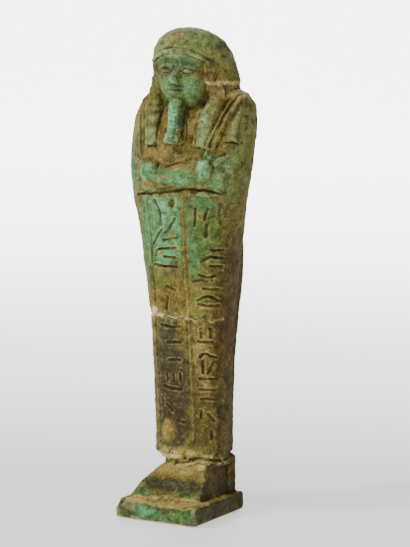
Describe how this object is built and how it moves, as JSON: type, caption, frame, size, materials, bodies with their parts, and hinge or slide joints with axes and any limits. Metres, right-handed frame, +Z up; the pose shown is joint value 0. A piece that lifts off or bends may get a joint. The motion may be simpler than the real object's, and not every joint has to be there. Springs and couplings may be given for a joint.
{
  "type": "shabti funerary figurine",
  "caption": "Small mummiform faience funerary figurine with tripartite wig, beard, crossed arms, carved panel, back pillar and plinth.",
  "frame": {"origin": "centre of the flat underside of the plinth", "axes": "+Z up the figure, -Y the way the figure faces, +X towards its left hand"},
  "size_m": [0.0308, 0.0272, 0.1192],
  "materials": {
    "green_faience": "worn matt to satin green and turquoise glaze over brown, dirt in the carving"
  },
  "bodies": {
    "root": {"ushabti_figurine": "green_faience"}
  },
  "joints": []
}
